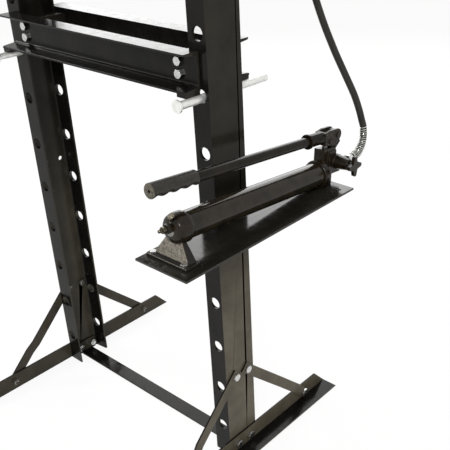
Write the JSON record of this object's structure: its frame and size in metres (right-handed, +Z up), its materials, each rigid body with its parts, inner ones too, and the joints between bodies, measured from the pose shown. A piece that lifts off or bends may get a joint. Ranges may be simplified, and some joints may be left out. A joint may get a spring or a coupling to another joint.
{
  "type": "hydraulic shop press",
  "caption": "Floor-standing hydraulic shop press: two-post channel frame, pinned height-adjustable bed, spring-return ram and a lever hand pump on a side shelf.",
  "frame": {"origin": "on the floor in the middle of the frame, on the underside of the tie bar", "axes": "+Z up, +X towards the pump's side, -Y towards the front, where the operator stands"},
  "size_m": [0.8811, 0.7296, 1.8854],
  "materials": {
    "frame_paint": "glossy black enamel",
    "pump_paint": "glossy black enamel on cast and drawn steel",
    "rough_casting": "rough casting with worn dark paint",
    "zinc_plating": "bright zinc plating",
    "machined_steel": "turned steel",
    "hard_chrome": "ground and hard chromed",
    "hose_rubber": "smooth black rubber",
    "grip_vinyl": "satin black vinyl"
  },
  "bodies": {
    "frame": {"upright_left": "frame_paint", "upright_right": "frame_paint", "foot_left": "frame_paint", "foot_right": "frame_paint", "brace_left_front": "frame_paint", "brace_left_rear": "frame_paint", "brace_right_front": "frame_paint", "brace_right_rear": "frame_paint", "tie_bar": "frame_paint", "crown_channel_front": "frame_paint", "crown_channel_rear": "frame_paint", "crown_bolt_left_lower": "zinc_plating", "crown_bolt_left_upper": "zinc_plating", "crown_bolt_right_lower": "zinc_plating", "crown_bolt_right_upper": "zinc_plating", "cylinder_plate": "frame_paint", "cylinder_body": "frame_paint", "cylinder_lock_ring": "machined_steel", "cylinder_cap": "frame_paint", "cylinder_gland": "machined_steel", "rod_wiper": "hose_rubber", "return_spring": "machined_steel", "pump_shelf": "frame_paint", "shelf_bolt_front": "zinc_plating", "shelf_bolt_rear": "zinc_plating", "pump_tank": "pump_paint", "pump_front_cap": "pump_paint", "vent_nut": "pump_paint", "vent_fitting": "zinc_plating", "pump_front_foot": "rough_casting", "pump_head": "pump_paint", "plunger_gland_nut": "machined_steel", "hose_end_fitting": "zinc_plating", "port_elbow": "zinc_plating", "hydraulic_hose": "hose_rubber", "hose_guard_spring": "zinc_plating"},
    "ram": {"ram_rod": "hard_chrome", "ram_piston": "machined_steel", "piston_seal": "hose_rubber", "ram_foot": "machined_steel"},
    "bed": {"bed_channel_front": "frame_paint", "bed_channel_rear": "frame_paint", "bed_spacer_left": "frame_paint", "bed_spacer_right": "frame_paint", "bed_bolt_left_lower": "zinc_plating", "bed_bolt_left_upper": "zinc_plating", "bed_bolt_right_lower": "zinc_plating", "bed_bolt_right_upper": "zinc_plating"},
    "left_pin": {"bed_pin_left": "zinc_plating"},
    "right_pin": {"bed_pin_right": "zinc_plating"},
    "handle": {"handle_beam": "pump_paint", "handle_tube": "pump_paint", "handle_grip": "grip_vinyl", "fulcrum_pin": "zinc_plating"},
    "plunger": {"pump_plunger": "machined_steel", "plunger_pin": "zinc_plating"},
    "release_valve": {"release_knob": "pump_paint", "release_stem": "zinc_plating"},
    "filler": {"filler_screw": "machined_steel"}
  },
  "joints": [
    {"name": "ram_slide", "type": "slide", "parent": "frame", "child": "ram", "axis": [0, 0, -1], "range_m": [0, 0.15], "stiffness_N_per_m": 1500, "springref_m": -0.1, "deforming": ["return_spring"]},
    {"name": "bed_lift", "type": "slide", "parent": "frame", "child": "bed", "axis": [0, 0, 1], "range_m": [0, 0.25]},
    {"name": "left_pin_pull", "type": "slide", "parent": "frame", "child": "left_pin", "axis": [0, -1, 0], "range_m": [0, 0.21]},
    {"name": "right_pin_pull", "type": "slide", "parent": "frame", "child": "right_pin", "axis": [0, -1, 0], "range_m": [0, 0.21]},
    {"name": "handle_lift", "type": "hinge", "parent": "frame", "child": "handle", "pos_m": [0.412, 0.28222, 0.81401], "axis": [-1, 0, 0], "range_deg": [0, 45]},
    {"name": "plunger_stroke", "type": "slide", "parent": "frame", "child": "plunger", "axis": [0, 0.0837, 0.9965], "range_m": [0, 0.024]},
    {"name": "release_valve_turn", "type": "hinge", "parent": "frame", "child": "release_valve", "pos_m": [0.412, 0.27559, 0.74944], "axis": [1, 0, 0], "range_deg": [0, 360]},
    {"name": "filler_screw_turn", "type": "hinge", "parent": "frame", "child": "filler", "pos_m": [0.412, -0.23441, 0.79226], "axis": [0, -0.6455, 0.7638], "range_deg": [0, 360]}
  ],
  "couplings": [
    {"joint": "plunger_stroke", "follows": "handle_lift", "m_per_rad": 0.0301}
  ]
}
